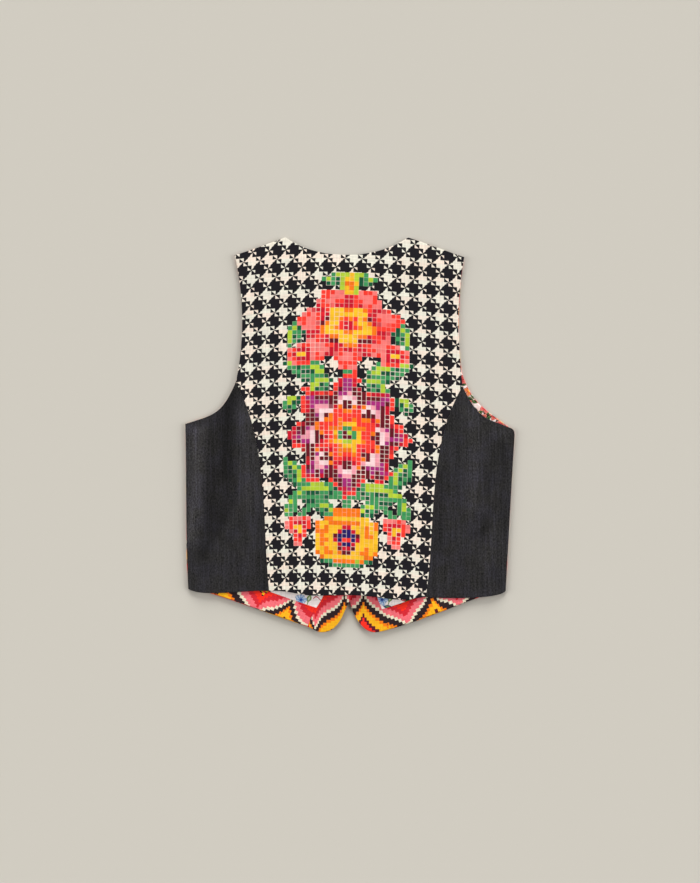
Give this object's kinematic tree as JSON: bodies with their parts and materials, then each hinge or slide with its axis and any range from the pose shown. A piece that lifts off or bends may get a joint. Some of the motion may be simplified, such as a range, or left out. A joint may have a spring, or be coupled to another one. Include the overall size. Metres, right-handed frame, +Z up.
{
  "type": "denim waistcoat",
  "caption": "Short sleeveless waistcoat laid flat, back uppermost: printed centre back, dark denim side backs and pointed printed fronts with facings and lining.",
  "frame": {"origin": "middle of the laid garment's outline, on the surface that it lies on", "axes": "+Z up from the surface, +Y towards the neck, +X towards the wearer's right side"},
  "size_m": [0.485, 0.5793, 0.0125],
  "materials": {
    "printed_check": "matt printed cotton, cream and near-black houndstooth with a stitched-look flower column",
    "dark_denim": "matt charcoal denim with fine lengthwise slubs",
    "flame_print": "matt printed cotton in stepped flames of red, pink, orange, yellow, brown and cream",
    "flower_lining": "smooth pale cotton lining with small blue, green and red flowers",
    "horn_button": "semi-gloss dark horn"
  },
  "bodies": {
    "root": {"back_centre": "printed_check", "back_side_left": "dark_denim", "back_side_right": "dark_denim", "front_left": "flame_print", "front_right": "flame_print", "front_facing_left": "flame_print", "front_facing_right": "flame_print", "hem_facing_left": "flame_print", "hem_facing_right": "flame_print", "lining_left": "flower_lining", "lining_right": "flower_lining", "button_1": "horn_button", "button_2": "horn_button", "button_3": "horn_button", "button_4": "horn_button"}
  },
  "joints": []
}
